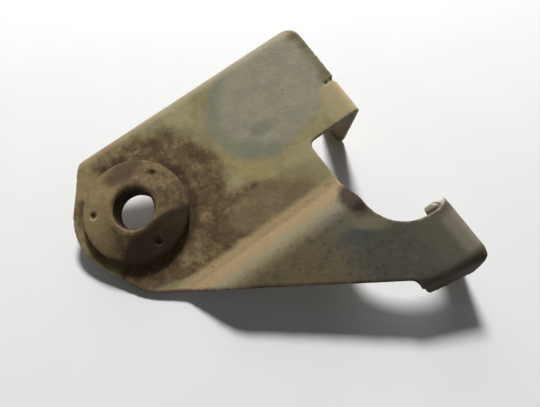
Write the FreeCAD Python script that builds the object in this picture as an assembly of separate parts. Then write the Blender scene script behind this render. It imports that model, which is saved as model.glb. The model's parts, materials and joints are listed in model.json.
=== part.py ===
"""Transfer case shift bracket: a folded steel sheet with a flanged pivot bushing, in millimetres.

The bracket is drawn in its own flat frame: the pivot axis is Z, the top face of the plate is Z = 0,
X runs along the joggle and Y across it. At the end it is laid on the floor, on the foot of its leg,
the foot of its head flange and the round corner of its plate, as it comes to rest on a bench.
"""
import FreeCAD, Part
import math
import os
from FreeCAD import Placement, Rotation, Vector

# Sheet
sheet = 3.0
fold_inside = 2.5
joggle_inside = 3.5

# Plate
end_radius = 26.8
end_upper_angle = 144.0
end_lower_angle = 206.4
lip_face = 34.2
lip_drop = 6.5
plain_edge = 102.9
plate_corner_radius = 8.5
lip_corner_radius = 4.0
low_corner_radius = 15.0

# Joggle between plate and arm
joggle_start = -38.4
joggle_run = 10.9
arm_rise = 10.0

# Lower edge of plate and arm: where it starts under the pivot and how it slopes
low_edge_start_x = -8.9
low_edge_start_y = -34.0
low_edge_slope = -33.4

# Leg and notch
flange_face = 104.2
leg_width = 17.4
leg_low_side = -17.6
leg_low_drop = 43.2
leg_high_drop = 48.1
foot_radius = 3.0
step_radius = 3.0
relief_width = 1.3
relief_depth = 2.0
relief_rounding = 0.49
notch_side = 75.5
notch_inner_radius = 3.0
notch_sweep_radius = 19.0
notch_end = -68.8

# Head
fold_end = -71.0
head_width = 26.1
head_step = 72.6
head_corner_radius = 10.0
head_lip_slope = -11.5
head_lip_lean = 30.0
head_lip_drop = 8.0
head_lip_taper = 3.2
head_flange_low_drop = 30.0
head_flange_low_side = -95.0
head_flange_high_drop = 23.0
head_flange_flare = 2.4
head_flange_flare_drop = 14.0

# Pivot bushing
bore_radius = 8.0
bore_mouth_radius = 9.2
bore_mouth_depth = 1.2
crown_radius = 10.6
crown_height = 6.4
hub_radius = 11.0
hub_below_plate = 3.0
hub_chamfer = 0.8
disc_radius = 21.5
disc_rim_height = 2.6
dimple_count = 3
dimple_circle = 17.0
dimple_radius = 1.5
dimple_depth = 0.9
dimple_first_angle = 33.0

# How the piece lies: the joggle's heading on the floor, counted from +X
joggle_heading = 36.0
foot_tolerance = 0.02
settling_steps = 12

REACH = 200.0


def on_circle(radius, degrees):
    """Point at an angle on a circle about the pivot."""
    turn = math.radians(degrees)
    return Vector(radius * math.cos(turn), radius * math.sin(turn))


def meet(point_a, along_a, point_b, along_b):
    """Where two lines of a plane cross."""
    across = along_a.x * along_b.y - along_a.y * along_b.x
    gap = point_b - point_a
    share = (gap.x * along_b.y - gap.y * along_b.x) / across
    return point_a + along_a * share


def rounded_edges(corners, radii):
    """Edges of an open path whose inner corners are rounded; no radius leaves a corner sharp."""
    edges = []
    start = corners[0]
    for before, corner, after, radius in zip(corners, corners[1:], corners[2:], radii):
        if radius <= 0:
            edges.append(Part.LineSegment(start, corner).toShape())
            start = corner
            continue
        back = (before - corner).normalize()
        on = (after - corner).normalize()
        half = back.getAngle(on) / 2
        first = corner + back * (radius / math.tan(half))
        last = corner + on * (radius / math.tan(half))
        middle = corner + (back + on).normalize() * (radius / math.sin(half) - radius)
        edges.append(Part.LineSegment(start, first).toShape())
        edges.append(Part.Arc(first, middle, last).toShape())
        start = last
    edges.append(Part.LineSegment(start, corners[-1]).toShape())
    return edges


def closed_face(corners, radii):
    """Face inside a closed outline, each corner with its own radius; it starts half-way on a side."""
    start = (corners[-1] + corners[0]) * 0.5
    path = [start] + corners + [start]
    return Part.Face(Part.Wire(rounded_edges(path, radii)))


def placed(points, across, up):
    """Points of a section turned into space: the section's first axis is `across`, its second `up`."""
    return [across * point.x + up * point.y for point in points]


def inner_line(corners, depth):
    """The other face of the sheet: the same path, moved to its left by the sheet's thickness."""
    moved = []
    for start, end in zip(corners, corners[1:]):
        along = (end - start).normalize()
        moved.append((start + Vector(-along.y, along.x) * depth, along))
    line = [moved[0][0]]
    for first, second in zip(moved, moved[1:]):
        line.append(meet(first[0], first[1], second[0], second[1]))
    last_along = moved[-1][1]
    line.append(corners[-1] + Vector(-last_along.y, last_along.x) * depth)
    return line


def folded_section(corners, inside_radii, across, up):
    """Section of the folded sheet from the corners of its outer face line; material lies to the left."""
    inner = inner_line(corners, sheet)
    outer_radii = []
    inner_radii = []
    for before, corner, after, radius in zip(corners, corners[1:], corners[2:], inside_radii):
        along = corner - before
        then = after - corner
        turns_left = along.x * then.y - along.y * then.x > 0
        outer_radii.append(radius + sheet if turns_left else radius)
        inner_radii.append(radius if turns_left else radius + sheet)
    outer_path = placed(corners, across, up)
    inner_path = placed(inner, across, up)
    edges = rounded_edges(outer_path, outer_radii)
    edges.append(Part.LineSegment(outer_path[-1], inner_path[-1]).toShape())
    edges += rounded_edges(inner_path[::-1], inner_radii[::-1])
    edges.append(Part.LineSegment(inner_path[0], outer_path[0]).toShape())
    return Part.Face(Part.Wire(Part.sortEdges(edges)[0]))


AXIS_X = Vector(1, 0, 0)
AXIS_Y = Vector(0, 1, 0)
AXIS_Z = Vector(0, 0, 1)

fold_outside = fold_inside + sheet
bend_start = flange_face - fold_outside
joggle_end = joggle_start - joggle_run
leg_high_side = leg_low_side + leg_width
low_edge_start = Vector(low_edge_start_x, low_edge_start_y)
head_corner = Vector(flange_face, fold_end - head_width)
head_lip_along = on_circle(1, head_lip_slope)
head_lip_spread = head_lip_drop * math.tan(math.radians(head_lip_lean))


def low_corner():
    """Sharp corner where the round end's lower tangent meets the lower edge."""
    tangent_point = on_circle(end_radius, end_lower_angle)
    tangent = on_circle(1, end_lower_angle + 90)
    return meet(tangent_point, tangent, low_edge_start, on_circle(1, low_edge_slope))


def lip_foot():
    """Where the head lip's foot line lies in plan: a point on it."""
    return head_corner + on_circle(head_lip_spread, head_lip_slope - 90)


def outline():
    """Plan outline of the whole piece, leg, head and flange ends included."""
    low_edge = on_circle(1, low_edge_slope)
    upper_point = on_circle(end_radius, end_upper_angle)
    upper_tangent = on_circle(1, end_upper_angle + 90)
    lower_point = on_circle(end_radius, end_lower_angle)
    lower_tangent = on_circle(1, end_lower_angle + 90)
    relief_end = bend_start - relief_depth
    relief_high_side = leg_high_side + relief_width
    flare_end = fold_end + head_flange_flare
    corners = [
        (meet(upper_point, upper_tangent, Vector(0, lip_face), AXIS_X), lip_corner_radius),
        (meet(upper_point, upper_tangent, lower_point, lower_tangent), end_radius),
        (low_corner(), low_corner_radius),
        (meet(low_edge_start, low_edge, Vector(head_step, 0), AXIS_Y), step_radius),
        (meet(lip_foot(), head_lip_along, Vector(head_step, 0), AXIS_Y), 0),
        (meet(lip_foot(), head_lip_along, Vector(flange_face, 0), AXIS_Y), head_corner_radius),
        (Vector(flange_face, flare_end), 0),
        (Vector(bend_start, flare_end), 0),
        (Vector(bend_start, fold_end), 0),
        (Vector(notch_side, notch_end), notch_sweep_radius),
        (Vector(notch_side, leg_low_side), notch_inner_radius),
        (Vector(flange_face, leg_low_side), 0),
        (Vector(flange_face, leg_high_side), 0),
        (Vector(relief_end, leg_high_side), relief_width * relief_rounding),
        (Vector(relief_end, relief_high_side), relief_width * relief_rounding),
        (Vector(plain_edge, relief_high_side), 0),
        (Vector(plain_edge, lip_face), plate_corner_radius),
    ]
    points = [corner for corner, radius in corners]
    radii = [radius for corner, radius in corners]
    face = closed_face(points, radii)
    face.translate(Vector(0, 0, -REACH))
    return face.extrude(Vector(0, 0, 2 * REACH))


def folded_sheet():
    """Lip, plate, joggle and arm as one run of sheet, cut free where the leg's fold starts."""
    line = [
        Vector(lip_face, -lip_drop),
        Vector(lip_face, 0),
        Vector(joggle_start, 0),
        Vector(joggle_end, arm_rise),
        Vector(-REACH, arm_rise),
    ]
    section = folded_section(line, [fold_inside, joggle_inside, joggle_inside], AXIS_Y, AXIS_Z)
    section.translate(Vector(-REACH, 0, 0))
    body = section.extrude(Vector(REACH + flange_face, 0, 0))
    beside_leg = Part.makeBox(REACH, leg_width, REACH, Vector(bend_start, leg_low_side, -REACH / 2))
    return body.cut(beside_leg)


def flange(top, drop, spread, side, radii):
    """Flange folded down from a level at X = 0, its foot out by the spread, cut to a side outline."""
    root = -fold_outside - sheet
    line = [Vector(spread, top - drop), Vector(0, top), Vector(root, top)]
    section = folded_section(line, [fold_inside], AXIS_X, AXIS_Z)
    section.translate(Vector(0, -REACH, 0))
    body = section.extrude(Vector(0, 2 * REACH, 0))
    face = closed_face(placed(side, AXIS_Y, AXIS_Z), radii)
    face.translate(Vector(root, 0, 0))
    return body.common(face.extrude(Vector(REACH, 0, 0)))


def leg():
    """Narrow leg folded down from the plate; its foot is cut aslant."""
    side = [
        Vector(leg_low_side, -leg_low_drop),
        Vector(leg_high_side, -leg_high_drop),
        Vector(leg_high_side, 0),
        Vector(leg_low_side, 0),
    ]
    return flange(0, leg_high_drop, 0, side, [foot_radius, foot_radius, 0, 0])


def head_flange_side():
    """Side outline of the head flange, seen along X, and the radii of its corners."""
    wide_side = fold_end + head_flange_flare
    side = [
        Vector(head_flange_low_side, arm_rise - head_flange_low_drop),
        Vector(wide_side, arm_rise - head_flange_high_drop),
        Vector(wide_side, arm_rise - head_flange_flare_drop),
        Vector(fold_end, arm_rise - fold_outside),
        Vector(fold_end, arm_rise),
        Vector(head_flange_low_side, arm_rise),
    ]
    return side, [foot_radius, foot_radius, foot_radius, 0, 0, 0]


def head_flange():
    """Wide flange folded down from the end of the arm; it widens towards the notch."""
    side, radii = head_flange_side()
    return flange(arm_rise, head_flange_low_drop, 0, side, radii)


def corner_wall():
    """Rounded wall that carries the head flange round the corner into the head lip."""
    inward = on_circle(head_corner_radius, head_lip_slope + 90)
    on_face = Vector(flange_face - head_corner_radius, 0)
    centre = meet(lip_foot() + inward, head_lip_along, on_face, AXIS_Y)
    foot = Vector(centre.x, centre.y, arm_rise - head_flange_low_drop)
    sweep = 90 + head_lip_slope
    wall = Part.makeCylinder(head_corner_radius, head_flange_low_drop, foot, AXIS_Z, sweep)
    hollow = Part.makeCylinder(head_corner_radius - sheet, head_flange_low_drop, foot)
    wall.rotate(centre, AXIS_Z, -sweep)
    side, radii = head_flange_side()
    below_flange = closed_face(placed(side, AXIS_Y, AXIS_Z), radii).extrude(Vector(REACH, 0, 0))
    lip_level = Vector(0, -REACH, arm_rise - head_lip_drop)
    below_lip = Part.makeBox(REACH, REACH, head_lip_drop, lip_level)
    return wall.cut(hollow).common(below_flange.fuse(below_lip))


def head_lip():
    """Leaning lip along the head's lower side, drawn with the head's corner at the origin."""
    length = (flange_face - head_step) / head_lip_along.x
    foot = arm_rise - head_lip_drop
    side = [
        Vector(head_lip_taper - length, foot),
        Vector(REACH, foot),
        Vector(REACH, arm_rise),
        Vector(-length, arm_rise),
    ]
    return flange(arm_rise, head_lip_drop, head_lip_spread, side, [foot_radius, 0, 0, 0])


def under_fold(top, lean):
    """Everything below a level and inside a fold at X = 0 whose face leans out by an angle."""
    corners = [
        Vector(-REACH, top - REACH),
        Vector(REACH * math.tan(math.radians(lean)), top - REACH),
        Vector(0, top),
        Vector(-REACH, top),
    ]
    face = closed_face(placed(corners, AXIS_X, AXIS_Z), [0, 0, fold_outside, 0])
    face.translate(Vector(0, -REACH, 0))
    return face.extrude(Vector(0, 2 * REACH, 0))


def bracket_plate():
    """The folded sheet with leg, head flange, head lip and the hole for the bushing."""
    at_face = Placement(Vector(flange_face, 0, 0), Rotation())
    at_lip = Placement(head_corner, Rotation(AXIS_Z, head_lip_slope - 90))
    shapes = {
        "leg": leg(),
        "head_flange": head_flange(),
        "head_fold": under_fold(arm_rise, 0),
        "head_lip": head_lip(),
        "lip_fold": under_fold(arm_rise, head_lip_lean),
    }
    for name, shape in shapes.items():
        shape.Placement = at_lip if "lip" in name else at_face
    flanges = [shapes[name] for name in ("leg", "head_flange", "head_lip")]
    body = folded_sheet().fuse(flanges + [corner_wall()]).common(outline())
    body = body.common(shapes["head_fold"]).common(shapes["lip_fold"])
    hole = Part.makeCylinder(hub_radius, REACH, Vector(0, 0, -REACH / 2))
    return body.cut(hole).removeSplitter().Solids[0]


def pivot_bushing():
    """Turned bushing: conical disc on the plate, hub through it, three weld dimples."""
    hub_end = -sheet - hub_below_plate
    profile = [
        Vector(bore_radius, 0, hub_end + hub_chamfer),
        Vector(bore_radius + hub_chamfer, 0, hub_end),
        Vector(hub_radius - hub_chamfer, 0, hub_end),
        Vector(hub_radius, 0, hub_end + hub_chamfer),
        Vector(hub_radius, 0, 0),
        Vector(disc_radius, 0, 0),
        Vector(disc_radius, 0, disc_rim_height),
        Vector(crown_radius, 0, crown_height),
        Vector(bore_mouth_radius, 0, crown_height),
        Vector(bore_radius, 0, crown_height - bore_mouth_depth),
    ]
    face = Part.Face(Part.makePolygon(profile + [profile[0]]))
    body = face.revolve(Vector(), AXIS_Z, 360)
    cone_share = (disc_radius - dimple_circle) / (disc_radius - crown_radius)
    cone_level = disc_rim_height + (crown_height - disc_rim_height) * cone_share
    for index in range(dimple_count):
        centre = on_circle(dimple_circle, dimple_first_angle + index * 360 / dimple_count)
        centre.z = cone_level - dimple_depth
        body = body.cut(Part.makeCone(dimple_radius / 2, dimple_radius * 2, dimple_radius * 1.5, centre))
    return body


def resting_place(shape):
    """Placement that lays the piece on its three feet, with the joggle at its heading."""
    points = shape.tessellate(foot_tolerance)[0]
    beside_notch = [point for point in points if point.x > bend_start]
    between = (leg_low_side + notch_end) / 2
    feet = [
        [point for point in points if point.x < 0],
        [point for point in beside_notch if point.y < between],
        [point for point in beside_notch if point.y > between],
    ]
    up = AXIS_Z
    for step in range(settling_steps):
        plate_foot, head_foot, leg_foot = [min(foot, key=up.dot) for foot in feet]
        up = (head_foot - plate_foot).cross(leg_foot - plate_foot)
        up.normalize()
    heading = on_circle(1, -joggle_heading)
    right = heading - up * heading.dot(up)
    turn = Rotation(right, Vector(), up, "ZXY")
    return Placement(Vector(), turn).inverse()


def main():
    """Build both pieces, lay them down and write one file for each."""
    os.makedirs("parts", exist_ok=True)
    pieces = {"bracket_plate": bracket_plate(), "pivot_bushing": pivot_bushing()}
    place = resting_place(pieces["bracket_plate"])
    for name, piece in pieces.items():
        piece.transformShape(place.toMatrix())
        piece.exportStep("parts/" + name + ".step")


main()
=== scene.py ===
"""Looks of the transfer case shift bracket: worn sheet, rust and dirt, on pale paper."""
import json

import bpy
import numpy as np
from mathutils import Matrix, Vector, noise


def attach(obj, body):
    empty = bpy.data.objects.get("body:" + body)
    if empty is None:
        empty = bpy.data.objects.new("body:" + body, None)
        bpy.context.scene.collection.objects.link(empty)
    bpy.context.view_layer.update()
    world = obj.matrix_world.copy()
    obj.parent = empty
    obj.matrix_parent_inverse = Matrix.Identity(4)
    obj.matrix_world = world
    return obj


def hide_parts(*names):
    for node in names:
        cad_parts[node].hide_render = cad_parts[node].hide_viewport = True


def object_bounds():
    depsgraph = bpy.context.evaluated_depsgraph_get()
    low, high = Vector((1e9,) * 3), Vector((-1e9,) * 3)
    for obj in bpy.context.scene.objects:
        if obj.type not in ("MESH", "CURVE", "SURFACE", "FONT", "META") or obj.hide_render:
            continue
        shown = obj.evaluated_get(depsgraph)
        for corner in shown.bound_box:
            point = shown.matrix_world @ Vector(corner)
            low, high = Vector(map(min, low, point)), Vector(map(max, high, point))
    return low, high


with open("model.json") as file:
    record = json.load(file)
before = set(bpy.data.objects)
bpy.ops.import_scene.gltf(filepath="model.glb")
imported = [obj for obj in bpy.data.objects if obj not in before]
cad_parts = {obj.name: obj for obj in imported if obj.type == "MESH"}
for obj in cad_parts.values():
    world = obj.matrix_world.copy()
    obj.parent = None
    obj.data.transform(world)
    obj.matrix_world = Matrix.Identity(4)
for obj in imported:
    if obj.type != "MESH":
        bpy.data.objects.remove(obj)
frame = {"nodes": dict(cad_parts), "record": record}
cad_box = [list(corner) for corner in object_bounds()]

MM = 0.001
mounts = {mount["name"]: mount for mount in frame["record"]["mounts"]}
bore_radius = mounts["pivot_bore"]["dims"]["r_mm"]
axis_w = Vector(mounts["pivot_bore"]["axis"])
axis_u = Vector(mounts["leg_face"]["axis"])
axis_v = axis_w.cross(axis_u)

# Places of a mix node's sockets, which share their names
MIX_FACTOR = 0
MIX_NUMBERS = (2, 3)
MIX_COLOURS = (6, 7)
MIX_NUMBER_RESULT = 0
MIX_COLOUR_RESULT = 2

# Shares of gloss on the metal and on the paper
METAL_SPECULAR = 0.12
PAPER_SPECULAR = 0.1


def tone(red, green, blue):
    """Linear colour from the fractions that a picture shows."""
    return [((share + 0.055) / 1.055) ** 2.4 for share in (red, green, blue)] + [1]


class Shader:
    """A material's node tree, in the bracket's own coordinates and millimetres.

    The pivot axis is w and the plate's upper face is w = 0; u runs along the joggle, v across it.
    """

    def __init__(self, name):
        self.material = bpy.data.materials.new(name)
        self.material.use_nodes = True
        self.tree = self.material.node_tree
        self.surface = self.tree.nodes["Principled BSDF"]
        position = self.add("ShaderNodeNewGeometry").outputs["Position"]
        self.u, self.v, self.w = [self.dot(position, axis) for axis in (axis_u, axis_v, axis_w)]
        joined = self.add("ShaderNodeCombineXYZ", X=self.u, Y=self.v, Z=self.w)
        self.place = joined.outputs["Vector"]
        plan = self.vector("MULTIPLY", self.place, (1, 1, 0))
        self.radius = self.vector("LENGTH", plan, output="Value")

    def add(self, kind, settings=None, **sockets):
        """A new node with its settings and its sockets' values or links."""
        node = self.tree.nodes.new(kind)
        for key, value in (settings or {}).items():
            setattr(node, key, value)
        for key, value in sockets.items():
            self.feed(node.inputs[key], value)
        return node

    def feed(self, socket, value):
        """Links a node's output to a socket, or sets the socket's value."""
        if isinstance(value, bpy.types.NodeSocket):
            self.tree.links.new(value, socket)
        else:
            socket.default_value = value

    def math(self, operation, *values):
        node = self.add("ShaderNodeMath", {"operation": operation})
        for socket, value in zip(node.inputs, values):
            self.feed(socket, value)
        return node.outputs["Value"]

    def vector(self, operation, *values, output="Vector"):
        node = self.add("ShaderNodeVectorMath", {"operation": operation})
        for socket, value in zip(node.inputs, values):
            self.feed(socket, value)
        return node.outputs[output]

    def dot(self, vector, axis):
        """Share of a place along an axis, in millimetres."""
        return self.vector("DOT_PRODUCT", vector, axis / MM, output="Value")

    def grain(self, size, detail=3, roughness=0.6, seed=0):
        """Noise whose lumps are about this many millimetres across, from 0 to 1."""
        settings = {"noise_dimensions": "4D"}
        node = self.add("ShaderNodeTexNoise", settings, Vector=self.place, W=float(seed))
        node.inputs["Scale"].default_value = 1 / size
        node.inputs["Detail"].default_value = detail
        node.inputs["Roughness"].default_value = roughness
        return node.outputs["Fac"]

    def ramp(self, value, low, high):
        """0 below low, 1 above high and smooth between; low may be the larger one."""
        settings = {"interpolation_type": "SMOOTHSTEP"}
        node = self.add("ShaderNodeMapRange", settings, Value=value)
        node.inputs["From Min"].default_value = min(low, high)
        node.inputs["From Max"].default_value = max(low, high)
        node.inputs["To Min"].default_value = float(low > high)
        node.inputs["To Max"].default_value = float(low <= high)
        return node.outputs["Result"]

    def patch(self, centre, size, turn=0, soft=2, ragged=6, lump=6, seed=0):
        """Mask of a stain: an oval in plan with a ragged rim; the turn is in degrees."""
        rotate = self.add("ShaderNodeVectorRotate", {"rotation_type": "Z_AXIS"}, Vector=self.place)
        rotate.inputs["Center"].default_value = (centre[0], centre[1], 0)
        rotate.inputs["Angle"].default_value = -np.radians(turn)
        shifted = self.vector("SUBTRACT", rotate.outputs["Vector"], (centre[0], centre[1], 0))
        squeezed = self.vector("MULTIPLY", shifted, (1, size[0] / size[1], 0))
        length = self.vector("LENGTH", squeezed, output="Value")
        rim = self.math("MULTIPLY_ADD", self.grain(lump, seed=seed), ragged, length)
        middle = size[0] + ragged / 2
        return self.ramp(rim, middle + soft, middle - soft)

    def mix(self, mask, under, over, share=1):
        """One colour over another by a mask, which a share below 1 makes weaker."""
        if share < 1:
            mask = self.math("MULTIPLY", mask, share)
        node = self.add("ShaderNodeMix", {"data_type": "RGBA"})
        self.feed(node.inputs[MIX_FACTOR], mask)
        for socket, colour in zip(MIX_COLOURS, (under, over)):
            self.feed(node.inputs[socket], colour)
        return node.outputs[MIX_COLOUR_RESULT]

    def blend(self, mask, under, over):
        """One number turning into another by a mask."""
        node = self.add("ShaderNodeMix", {"data_type": "FLOAT"})
        self.feed(node.inputs[MIX_FACTOR], mask)
        for socket, number in zip(MIX_NUMBERS, (under, over)):
            self.feed(node.inputs[socket], number)
        return node.outputs[MIX_NUMBER_RESULT]

    def attribute(self, name):
        """Mask that the mesh carries."""
        return self.add("ShaderNodeAttribute", {"attribute_name": name}).outputs["Fac"]

    def finish(self, colour, roughness, height, depth):
        """Feeds the surface; the depth of the bumps is in millimetres."""
        bump = self.add("ShaderNodeBump", Height=height)
        bump.inputs["Strength"].default_value = 1
        bump.inputs["Distance"].default_value = depth * MM
        self.feed(self.surface.inputs["Base Color"], colour)
        self.feed(self.surface.inputs["Roughness"], roughness)
        self.feed(self.surface.inputs["Normal"], bump.outputs["Normal"])
        self.surface.inputs["Specular IOR Level"].default_value = METAL_SPECULAR
        return self.material


# Colours of metal and paper before the light falls on them; the half-lit plate looks darker. A few
# stand in for painted highlights and painted shade, as marked
OLIVE = tone(0.71, 0.67, 0.50)
OLIVE_DARK = tone(0.62, 0.57, 0.41)
YELLOW = tone(0.75, 0.66, 0.43)
GREY = tone(0.69, 0.66, 0.56)
GREY_DARK = tone(0.64, 0.62, 0.53)
BLUE_GREY = tone(0.56, 0.565, 0.49)
BROWN = tone(0.51, 0.43, 0.31)
BROWN_DARK = tone(0.34, 0.27, 0.20)
BROWN_LIGHT = tone(0.70, 0.61, 0.44)
BAND = tone(0.60, 0.54, 0.41)
# Near-black brown: soot and grime on the metal, and also painted shade where marked below
SOOT_AND_SHADE = tone(0.225, 0.18, 0.135)
RUST = tone(0.58, 0.36, 0.18)
TAN = tone(0.64, 0.55, 0.41)
TAN_LIGHT = tone(0.76, 0.67, 0.51)
TAN_GREEN = tone(0.56, 0.52, 0.41)
LIP = tone(0.64, 0.59, 0.49)
LIP_BROWN = tone(0.60, 0.52, 0.39)
TAB = tone(0.77, 0.70, 0.53)
# Painted highlight: the lit end face of the head flange's high side
FOLD_END_HIGHLIGHT = tone(0.86, 0.81, 0.72)
ARM_BROWN = tone(0.45, 0.40, 0.29)
ARM_GREEN = tone(0.455, 0.435, 0.365)
ARM_DARK = tone(0.325, 0.315, 0.28)
ARM_BLUE = tone(0.32, 0.33, 0.31)
HEAD = tone(0.405, 0.385, 0.335)
# Painted highlight on the head's bent-down right side, which faces the light
HEAD_BAND_HIGHLIGHT = tone(0.58, 0.55, 0.49)
# Colour of undersides and inner faces: dirt, and painted shade on these unlit faces
UNDERSIDE = tone(0.36, 0.31, 0.23)
CUT_EDGE = tone(0.24, 0.21, 0.165)
WORN_EDGE = tone(0.66, 0.60, 0.49)
PAPER = tone(0.965, 0.965, 0.965)
PAPER_MARK = tone(0.945, 0.945, 0.94)

# Where regions of the metal start and where they are full, in millimetres from the pivot:
# U along the joggle, V across it and RADIUS outwards
TAB_U = (88, 97)
TAB_V = (1, -2)
FREE_EDGE_U = (96, 101)
FREE_EDGE_V = (0, 4)
JOGGLE_V = (-33.5, -36.5)
JOGGLE_TAN_V = (-36, -40)
JOGGLE_GREEN_V = (-40, -46)
ARM_V = (-44.5, -49.5)
ARM_LOW_V = (-58, -69)
ARM_LOW_U = (56, 70)
ARM_GREEN_U = (46, 74)
HEAD_U = (86, 98)
HEAD_FOLD_U = (93, 97)
HEAD_FOLD_MIDDLE_V = -83
HEAD_FOLD_HALF = (11, 7)
HEAD_CORNER_U = (72, 80)
HEAD_CORNER_V = (-90, -95)
LIP_V = (28.5, 31.5)
LIP_CLEAN_U = (0, 30)
DISC_DIRT_AND_SHADE_RADIUS = (26.5, 23.5)
DISC_DIRT_AND_SHADE_V = (2, -8)
DISC_RIM_RADIUS = (19.8, 21)
DISC_RIM_V = (-7, -12)

# Straight lower edge of plate and arm: a point on it, its slope and, by the distance from it,
# where the painted shade along it fades in
LOW_EDGE_POINT = (-8.9, -34.0)
LOW_EDGE_SLOPE = np.radians(-33.4)
LOW_EDGE_SHADE = (2.0, 0.4)

# Centre and size of small bluish stains and of dark spots on the plate
BLUE_BLOTCHES = [((54, -5), (5, 4)), ((61, -11), (4, 3)), ((62, 0), (5, 3))]
DARK_SPOTS = [((99, 27), (3, 2)), ((101, 21), (3, 2)), ((100, 3.4), (4, 3))]


def plate_colour(s, mottle):
    """Olive plate with a grey rubbed patch, bluish at its rim, and dark spots and a darker strip at
    its free edge.
    """
    colour = s.mix(s.ramp(s.grain(14, seed=1), 0.4, 0.65), OLIVE, OLIVE_DARK)
    yellow = s.patch(centre=(47, -6), size=(14, 7), turn=-60, soft=4, ragged=9, seed=21)
    colour = s.mix(yellow, colour, YELLOW, 0.55)
    ring = s.patch(centre=(70, 11), size=(29, 22), turn=28, soft=3, ragged=7, lump=9, seed=4)
    colour = s.mix(ring, colour, BLUE_GREY, 0.8)
    rubbed = s.patch(centre=(76, 11), size=(27, 21.5), turn=28, soft=4, ragged=7, lump=8, seed=5)
    grey = s.mix(s.ramp(mottle, 0.35, 0.65), GREY, GREY_DARK)
    colour = s.mix(rubbed, colour, grey)
    for seed, (centre, size) in enumerate(BLUE_BLOTCHES, start=30):
        blotch = s.patch(centre, size, soft=2, ragged=5, lump=4, seed=seed)
        colour = s.mix(blotch, colour, BLUE_GREY, 0.75)
    tab = s.math("MULTIPLY", s.ramp(s.u, *TAB_U), s.ramp(s.v, *TAB_V))
    colour = s.mix(tab, colour, TAB)
    for seed, (centre, size) in enumerate(DARK_SPOTS, start=40):
        dark_spot = s.patch(centre, size, soft=1.5, ragged=3, lump=3, seed=seed)
        colour = s.mix(dark_spot, colour, CUT_EDGE, 0.28)
    free_edge = s.math("MULTIPLY", s.ramp(s.u, *FREE_EDGE_U), s.ramp(s.v, *FREE_EDGE_V))
    return s.mix(free_edge, colour, CUT_EDGE, 0.35)


def rust_mask(s):
    """Where the plate is brown: round the pivot, below it and along the joggle's foot."""
    around = s.patch(centre=(8, 2), size=(33, 28), turn=-8, soft=6, ragged=18, lump=8, seed=6)
    below = s.patch(centre=(2, -26), size=(27, 8), turn=-14, soft=4, ragged=5, lump=6, seed=29)
    along = s.patch(centre=(36, -26), size=(32, 11), turn=-18, soft=5, ragged=8, lump=6, seed=7)
    return s.math("MAXIMUM", s.math("MAXIMUM", around, below), along)


def rust_colour(s, mottle, light_share):
    """Brown with dark and light blotches, pits and a few orange spots."""
    colour = s.mix(s.ramp(mottle, 0.57, 0.39), BROWN, BROWN_DARK, 0.72)
    colour = s.mix(s.ramp(mottle, 0.54, 0.68), colour, BROWN_LIGHT, light_share)
    pits = s.grain(1.5, detail=3, seed=25)
    colour = s.mix(s.ramp(pits, 0.54, 0.64), colour, BROWN_DARK, 0.6)
    colour = s.mix(s.ramp(pits, 0.42, 0.32), colour, BROWN_LIGHT, 0.4)
    orange = s.ramp(s.grain(2.2, detail=2, seed=9), 0.68, 0.78)
    return s.mix(orange, colour, RUST, 0.5)


def arm_colour(s, mottle):
    """Raised arm: brownish at its root, dark and bluish in the middle, grey-brown at the head, with a
    painted highlight on the head's bent-down right side and painted shade on its lower lip.
    """
    reach = s.math("MULTIPLY_ADD", s.grain(10, seed=10), 16.0, s.u)
    colour = s.mix(s.ramp(reach, *ARM_GREEN_U), ARM_BROWN, ARM_GREEN)
    low = s.math("MULTIPLY", s.ramp(s.v, *ARM_LOW_V), s.ramp(reach, *ARM_LOW_U))
    colour = s.mix(low, colour, ARM_DARK, 0.8)
    colour = s.mix(s.ramp(mottle, 0.52, 0.38), colour, ARM_DARK, 0.5)
    pits = s.grain(1.8, detail=3, seed=28)
    colour = s.mix(s.ramp(pits, 0.54, 0.64), colour, SOOT_AND_SHADE, 0.35)
    colour = s.mix(s.ramp(pits, 0.43, 0.34), colour, TAN_GREEN, 0.22)
    bluish = s.patch(centre=(66, -62), size=(8, 3.5), turn=-25, soft=4, ragged=6, lump=4, seed=8)
    colour = s.mix(bluish, colour, ARM_BLUE, 0.75)
    colour = s.mix(s.ramp(reach, *HEAD_U), colour, HEAD)
    # Painted highlight: the head's bent-down right side is painted lighter where it turns to the
    # light
    off_middle = s.math("ABSOLUTE", s.math("SUBTRACT", s.v, HEAD_FOLD_MIDDLE_V))
    fold_highlight = s.math("MULTIPLY", s.ramp(s.u, *HEAD_FOLD_U), s.ramp(off_middle, *HEAD_FOLD_HALF))
    colour = s.mix(fold_highlight, colour, HEAD_BAND_HIGHLIGHT, 0.8)
    by_notch = s.patch(centre=(72, -60), size=(7, 2.5), turn=-35, soft=3, ragged=4, lump=4, seed=22)
    colour = s.mix(by_notch, colour, TAN_GREEN, 0.6)
    # Painted shade: the head's lower lip faces away from the light and is painted nearly black
    corner = s.math("MULTIPLY", s.ramp(s.v, *HEAD_CORNER_V), s.ramp(s.u, *HEAD_CORNER_U))
    return s.mix(corner, colour, SOOT_AND_SHADE, 0.92)


def joggle_colour(s, mottle):
    """Rubbed tan slope, lighter at its foot and greener towards the arm, with rust and specks."""
    colour = s.mix(s.ramp(s.v, *JOGGLE_TAN_V), TAN_LIGHT, TAN)
    colour = s.mix(s.ramp(s.v, *JOGGLE_GREEN_V), colour, TAN_GREEN)
    colour = s.mix(s.ramp(mottle, 0.45, 0.33), colour, BROWN, 0.4)
    colour = s.mix(s.ramp(s.grain(3, detail=2, seed=34), 0.6, 0.72), colour, RUST, 0.3)
    return s.mix(s.ramp(s.grain(1.3, detail=2, seed=33), 0.63, 0.7), colour, BROWN_DARK, 0.6)


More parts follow.
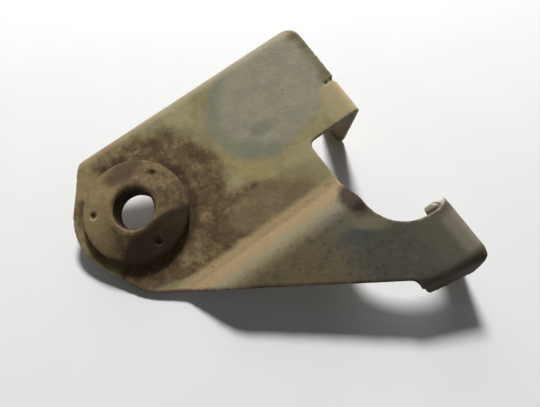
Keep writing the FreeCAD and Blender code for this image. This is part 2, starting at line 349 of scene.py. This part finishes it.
def dirt_and_shade_by_disc(s):
    """Dirt and painted shade on the plate round the disc's foot: full below the pivot, where the
    disc's shadow falls, broken above it.
    """
    broken = s.ramp(s.grain(7, seed=19), 0.58, 0.46)
    half = s.math("MAXIMUM", s.ramp(s.v, *DISC_DIRT_AND_SHADE_V), broken)
    return s.math("MULTIPLY", s.ramp(s.radius, *DISC_DIRT_AND_SHADE_RADIUS), half)


def low_edge_shade(s):
    """Painted shade along the rounded lower edge, which faces away from the light, by the distance
    from that edge's line.
    """
    inward_u = -np.sin(LOW_EDGE_SLOPE)
    inward_v = np.cos(LOW_EDGE_SLOPE)
    start = -inward_u * LOW_EDGE_POINT[0] - inward_v * LOW_EDGE_POINT[1]
    share_v = s.math("MULTIPLY_ADD", s.v, inward_v, start)
    distance = s.math("MULTIPLY_ADD", s.u, inward_u, share_v)
    return s.ramp(distance, *LOW_EDGE_SHADE)


def sheet_material():
    """Old plated steel sheet, region by region."""
    s = Shader("worn_sheet")
    mottle = s.grain(6, detail=5, roughness=0.6, seed=2)
    fine = s.grain(1.1, detail=4, roughness=0.7, seed=3)
    rusty = rust_mask(s)
    colour = s.mix(rusty, plate_colour(s, mottle), rust_colour(s, mottle, 0.7))
    band = s.patch(centre=(52, -29), size=(26, 9), turn=-4, soft=4, ragged=8, lump=8, seed=12)
    colour = s.mix(band, colour, BAND, 0.55)
    low_end = s.patch(centre=(-7, -28), size=(17, 6), turn=-12, soft=4, ragged=6, lump=6, seed=13)
    colour = s.mix(low_end, colour, SOOT_AND_SHADE, 0.15)
    # Dirt round the disc's foot, with the disc's shadow painted on its lower side
    colour = s.mix(dirt_and_shade_by_disc(s), colour, SOOT_AND_SHADE, 0.65)
    left_end = s.patch(centre=(-13, 22), size=(8, 5), soft=3, ragged=5, lump=5, seed=27)
    colour = s.mix(left_end, colour, BROWN_LIGHT, 0.75)

    colour = s.mix(s.ramp(s.v, *JOGGLE_V), colour, joggle_colour(s, mottle))
    colour = s.mix(s.ramp(s.v, *ARM_V), colour, arm_colour(s, mottle))
    root = s.patch(centre=(75, -48), size=(7, 7), soft=2, ragged=4, lump=5, seed=11)
    colour = s.mix(root, colour, SOOT_AND_SHADE, 0.97)
    lip_colour = s.mix(s.ramp(s.u, *LIP_CLEAN_U), LIP_BROWN, LIP)
    colour = s.mix(s.ramp(s.v, *LIP_V), colour, lip_colour, 0.85)
    # Painted shade along the lower edge
    colour = s.mix(low_edge_shade(s), colour, SOOT_AND_SHADE, 0.6)

    specks = s.ramp(s.grain(2, detail=2, seed=14), 0.66, 0.74)
    colour = s.mix(specks, colour, RUST, 0.6)
    colour = s.mix(s.ramp(fine, 0.6, 0.8), colour, BROWN_DARK, 0.35)
    colour = s.mix(s.ramp(fine, 0.42, 0.28), colour, BROWN_LIGHT, 0.2)
    worn = s.math("MULTIPLY", s.ramp(s.attribute("edge"), 0.15, 0.6), s.ramp(mottle, 0.42, 0.6))
    colour = s.mix(worn, colour, WORN_EDGE, 0.45)
    # Sheared edges darkened: rust on them, and painted shade on the walls that face away from the
    # light
    colour = s.mix(s.attribute("cut"), colour, CUT_EDGE, 0.92)
    # Faces that look down or inward darkened: dirt, and painted shade on these unlit faces
    colour = s.mix(s.attribute("inside"), colour, UNDERSIDE, 0.9)
    # Painted highlight on the end face of the head flange's high side, which faces the light
    fold_end_highlight = s.patch(centre=(98.5, -69), size=(4, 2), soft=1, ragged=1.5, lump=3, seed=26)
    colour = s.mix(fold_end_highlight, colour, FOLD_END_HIGHLIGHT, 0.9)
    # Hollows darkened: dirt, and painted shade in these hollows
    colour = s.mix(s.ramp(s.attribute("nook_dirt_and_shade"), 0.05, 0.5), colour, SOOT_AND_SHADE, 0.6)

    clean = s.blend(s.ramp(fine, 0.3, 0.7), 0.52, 0.66)
    roughness = s.blend(rusty, clean, 0.85)
    height = s.math("MULTIPLY_ADD", fine, 0.4, s.math("MULTIPLY", mottle, 0.6))
    return s.finish(colour, roughness, height, depth=0.35)


def bushing_material():
    """Rusted turned steel, oily below the bore, with painted shade in the bore, and dirt and painted
    shade in the dimples and at the disc's lower rim.
    """
    s = Shader("rusted_bushing")
    mottle = s.grain(5, detail=5, roughness=0.62, seed=15)
    fine = s.grain(0.8, detail=4, roughness=0.7, seed=16)
    colour = rust_colour(s, mottle, 0.6)
    rubbed = s.patch(centre=(-12, 12), size=(14, 9), turn=45, soft=5, ragged=6, seed=17)
    colour = s.mix(rubbed, colour, BROWN_LIGHT, 0.5)
    dark_top = s.patch(centre=(4, 16), size=(8, 4.5), soft=3, ragged=4, seed=23)
    colour = s.mix(dark_top, colour, BROWN_DARK, 0.85)
    light_side = s.patch(centre=(-16, 0), size=(5, 9), soft=2, ragged=3, seed=24)
    colour = s.mix(light_side, colour, BROWN_LIGHT, 0.6)
    oily = s.patch(centre=(3, -18), size=(22, 10), turn=4, soft=3, ragged=5, lump=5, seed=18)
    colour = s.mix(oily, colour, SOOT_AND_SHADE, 0.9)
    colour = s.mix(s.ramp(fine, 0.6, 0.8), colour, BROWN_DARK, 0.6)
    # Disc's lower rim darkened: grime there, and painted shade where the rim faces away from the
    # light
    rim = s.math("MULTIPLY", s.ramp(s.radius, *DISC_RIM_RADIUS), s.ramp(s.v, *DISC_RIM_V))
    colour = s.mix(rim, colour, SOOT_AND_SHADE, 0.75)
    # Painted shade inside the bore
    bore_shade = s.ramp(s.radius, bore_radius + 0.5, bore_radius + 0.2)
    colour = s.mix(bore_shade, colour, SOOT_AND_SHADE)
    # Hollows such as the dimples darkened: dirt, and painted shade
    colour = s.mix(s.ramp(s.attribute("nook_dirt_and_shade"), 0.05, 0.5), colour, SOOT_AND_SHADE, 0.85)
    height = s.math("MULTIPLY_ADD", fine, 0.5, s.math("MULTIPLY", mottle, 0.5))
    return s.finish(colour, 0.8, height, depth=0.4)


# Where the sheet passes into leg and head flange, long lip and head lip, in millimetres
FLANGE_U = (97, 99)
LIP_BEND_V = (29, 31)
HEAD_LIP_V = (-95, -97)

# How strongly a bulge shows as a worn edge or as a hollow darkened by dirt and painted shade
BULGE_GAIN = 6

# Where the rusted zone round the pivot ends, in millimetres
RUSTED_RADIUS = (26, 40)


def step(values, low, high):
    """0 below low, 1 above high and straight between; low may be the larger one."""
    return np.clip((values - low) / (high - low), 0, 1)


def face_kinds(points, normals):
    """For each vertex, how far it lies on a sheared edge and on the sheet's inner side.

    Which way a face looks is read from its normal's shares along the bracket's own axes.
    """
    u, v, w = [points @ np.array(axis) / MM for axis in (axis_u, axis_v, axis_w)]
    along, across, up = [normals @ np.array(axis) for axis in (axis_u, axis_v, axis_w)]
    flange = step(u, *FLANGE_U)
    lip = step(v, *LIP_BEND_V)
    head_lip = step(v, *HEAD_LIP_V)
    inside = np.maximum.reduce([
        step(-up, 0.1, 0.6),
        flange * step(-along, 0.5, 0.8) * step(-w, 0, 2),
        lip * step(-across, 0.5, 0.8),
        head_lip * step(across, 0.5, 0.8),
    ])
    level = 1 - step(np.abs(up), 0.25, 0.5)
    on_flange = flange * step(np.abs(along), 0.5, 0.8)
    on_lip = lip * step(across, 0.3, 0.6)
    folded = np.maximum.reduce([on_flange, on_lip, head_lip])
    return level * (1 - folded), inside


def finer_copy(node, name, voxel, softening):
    """A copy of a node with an even, finer mesh and soft edges; the voxel is in millimetres."""
    piece = bpy.data.objects.new(name, node.data.copy())
    bpy.context.scene.collection.objects.link(piece)
    piece.data.materials.clear()
    remesh = piece.modifiers.new("remesh", "REMESH")
    remesh.mode = "VOXEL"
    remesh.voxel_size = voxel * MM
    smooth = piece.modifiers.new("smooth", "SMOOTH")
    smooth.factor = 0.5
    smooth.iterations = softening
    graph = bpy.context.evaluated_depsgraph_get()
    mesh = bpy.data.meshes.new_from_object(piece.evaluated_get(graph))
    piece.modifiers.clear()
    piece.data = mesh
    mesh.name = name
    return piece


def rows(items, name):
    """One vector of each item, as the rows of an array."""
    values = np.empty(len(items) * 3)
    items.foreach_get(name, values)
    return values.reshape(-1, 3)


def edge_ends(mesh):
    """The two vertices of each edge."""
    ends = np.empty(len(mesh.edges) * 2, dtype=np.int64)
    mesh.edges.foreach_get("vertices", ends)
    return ends.reshape(-1, 2)


def neighbour_mean(values, edges):
    """Mean of each vertex's neighbours."""
    total = np.zeros(values.shape)
    number = np.zeros(len(values))
    for first, second in ((0, 1), (1, 0)):
        np.add.at(total, edges[:, first], values[edges[:, second]])
        np.add.at(number, edges[:, first], 1)
    number = np.maximum(number, 1)
    return total / number.reshape((-1,) + (1,) * (values.ndim - 1))


def bulges(points, normals, edges, voxel):
    """How far each vertex stands out from its neighbours, in voxels, evened out twice."""
    out = points - neighbour_mean(points, edges)
    bulge = (out * normals).sum(axis=1) / (voxel * MM)
    for turn in range(2):
        bulge = (bulge + neighbour_mean(bulge, edges)) / 2
    return bulge


def dents(points, waves):
    """How deep each vertex is pushed in by the waves together."""
    from_pivot = np.hypot(points @ np.array(axis_u), points @ np.array(axis_v)) / MM
    rusted = 1 - step(from_pivot, *RUSTED_RADIUS)
    total = np.zeros(len(points))
    for size, depth, only_rust in waves:
        lumps = np.array([noise.noise(Vector(point) / (size * MM)) for point in points])
        weight = rusted if only_rust else 1
        total += depth * MM * weight * (0.5 + 0.5 * lumps)
    return total


def refined(node_name, name, voxel, softening, waves):
    """A finer copy of a node with worn looks and an uneven surface, riding in its place.

    Each wave of the surface has its size and its depth in millimetres and says whether it is
    on the rusted zone only. The surface is only pushed in, so the piece stays inside the node.
    """
    piece = finer_copy(frame["nodes"][node_name], name, voxel, softening)
    mesh = piece.data
    points = rows(mesh.vertices, "co")
    normals = rows(mesh.vertex_normals, "vector")
    bulge = bulges(points, normals, edge_ends(mesh), voxel) * BULGE_GAIN
    cut, inside = face_kinds(points, normals)
    masks = {"edge": bulge, "nook_dirt_and_shade": -bulge, "cut": cut, "inside": inside}
    for label, values in masks.items():
        layer = mesh.attributes.new(label, "FLOAT", "POINT")
        layer.data.foreach_set("value", np.clip(values, 0, 1))
    points -= normals * dents(points, waves)[:, None]
    mesh.vertices.foreach_set("co", points.ravel())
    mesh.shade_smooth()
    mesh.update()
    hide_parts(node_name)
    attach(piece, "root")
    return piece


def floor_material():
    """Matt pale paper with a few faint marks."""
    material = bpy.data.materials.new("pale_paper")
    material.use_nodes = True
    nodes = material.node_tree.nodes
    links = material.node_tree.links
    surface = nodes["Principled BSDF"]
    surface.inputs["Roughness"].default_value = 0.9
    surface.inputs["Specular IOR Level"].default_value = PAPER_SPECULAR
    position = nodes.new("ShaderNodeNewGeometry")
    marks = nodes.new("ShaderNodeTexNoise")
    marks.inputs["Scale"].default_value = 30
    marks.inputs["Detail"].default_value = 2
    links.new(position.outputs["Position"], marks.inputs["Vector"])
    mix = nodes.new("ShaderNodeMix")
    mix.data_type = "RGBA"
    for socket, colour in zip(MIX_COLOURS, (PAPER, PAPER_MARK)):
        mix.inputs[socket].default_value = colour
    links.new(marks.outputs["Fac"], mix.inputs[MIX_FACTOR])
    links.new(mix.outputs[MIX_COLOUR_RESULT], surface.inputs["Base Color"])
    return material


def pale_floor():
    """A wide plane at the bracket's feet, in metres."""
    half = 0.7
    level = cad_box[0][2]
    plan = [(-half, -half), (half, -half), (half, half), (-half, half)]
    corners = [(x, y, level) for x, y in plan]
    mesh = bpy.data.meshes.new("floor")
    mesh.from_pydata(corners, [], [(0, 1, 2, 3)])
    floor = bpy.data.objects.new("floor", mesh)
    bpy.context.scene.collection.objects.link(floor)
    mesh.materials.append(floor_material())


def camera():
    """Camera above the near side, looking down on the bracket as the photographer did.

    Its place and its own directions were fitted to the picture.
    """
    data = bpy.data.cameras.new("camera")
    data.sensor_width = 36.0
    data.lens = 28.67
    data.clip_start = 0.01
    right = Vector((0.99755, -0.00367, 0.06985))
    up = Vector((-0.03748, 0.81508, 0.57813))
    spot = Vector((43.74, -99.9, 149.58)) * MM
    back = right.cross(up)
    turn = Matrix((right, up, back)).transposed()
    place = bpy.data.objects.new("camera", data)
    bpy.context.scene.collection.objects.link(place)
    place.matrix_world = Matrix.Translation(spot) @ turn.to_4x4()
    bpy.context.scene.camera = place


# Spot that the lamps aim at, and the ways in which their light travels
LAMP_AIM = Vector((0.06, 0.01, 0))
KEY_TRAVEL = Vector((0.09726, -0.64682, -0.75642))
FILL_TRAVEL = Vector((0.1, -0.9, -0.42)).normalized()

# Strength of the light from all round
WORLD_LIGHT = 0.07


def soft_lamp(name, travel, distance, size, energy):
    """A round soft lamp whose light travels this way; the camera doesn't see the lamp."""
    data = bpy.data.lights.new(name, "AREA")
    data.shape = "DISK"
    data.size = size
    data.energy = energy
    lamp = bpy.data.objects.new(name, data)
    bpy.context.scene.collection.objects.link(lamp)
    lamp.location = LAMP_AIM - travel * distance
    lamp.rotation_euler = travel.to_track_quat("-Z", "Y").to_euler()
    lamp.visible_camera = False


def pale_world():
    """Faint light from all round; the camera and reflections see it as white."""
    world = bpy.data.worlds.new("world")
    bpy.context.scene.world = world
    world.use_nodes = True
    nodes = world.node_tree.nodes
    links = world.node_tree.links
    path = nodes.new("ShaderNodeLightPath")
    strength = path.outputs["Is Camera Ray"]
    for name in ("Is Glossy Ray", "Is Transmission Ray"):
        add = nodes.new("ShaderNodeMath")
        add.operation = "MAXIMUM"
        links.new(strength, add.inputs[0])
        links.new(path.outputs[name], add.inputs[1])
        strength = add.outputs["Value"]
    level = nodes.new("ShaderNodeMapRange")
    level.inputs["To Min"].default_value = WORLD_LIGHT
    level.inputs["To Max"].default_value = 1.0
    links.new(strength, level.inputs["Value"])
    links.new(level.outputs["Result"], nodes["Background"].inputs["Strength"])
    nodes["Background"].inputs["Color"].default_value = (1, 1, 1, 1)


camera()
soft_lamp("key", KEY_TRAVEL, distance=1.5, size=0.31, energy=22.6)
soft_lamp("fill", FILL_TRAVEL, distance=1.6, size=1.2, energy=6.5)
pale_world()
pale_floor()
plate_waves = [(28, 0.25, False), (5, 0.08, False), (1.6, 0.04, False), (2.6, 0.2, True)]
plate = refined("bracket_plate", "worn_bracket_plate", voxel=0.66, softening=3, waves=plate_waves)
plate.data.materials.append(sheet_material())
bushing_waves = [(4, 0.1, False), (1.5, 0.08, False)]
bushing = refined("pivot_bushing", "worn_pivot_bushing", voxel=0.36, softening=3, waves=bushing_waves)
bushing.data.materials.append(bushing_material())
bpy.context.scene.view_settings.view_transform = "Standard"
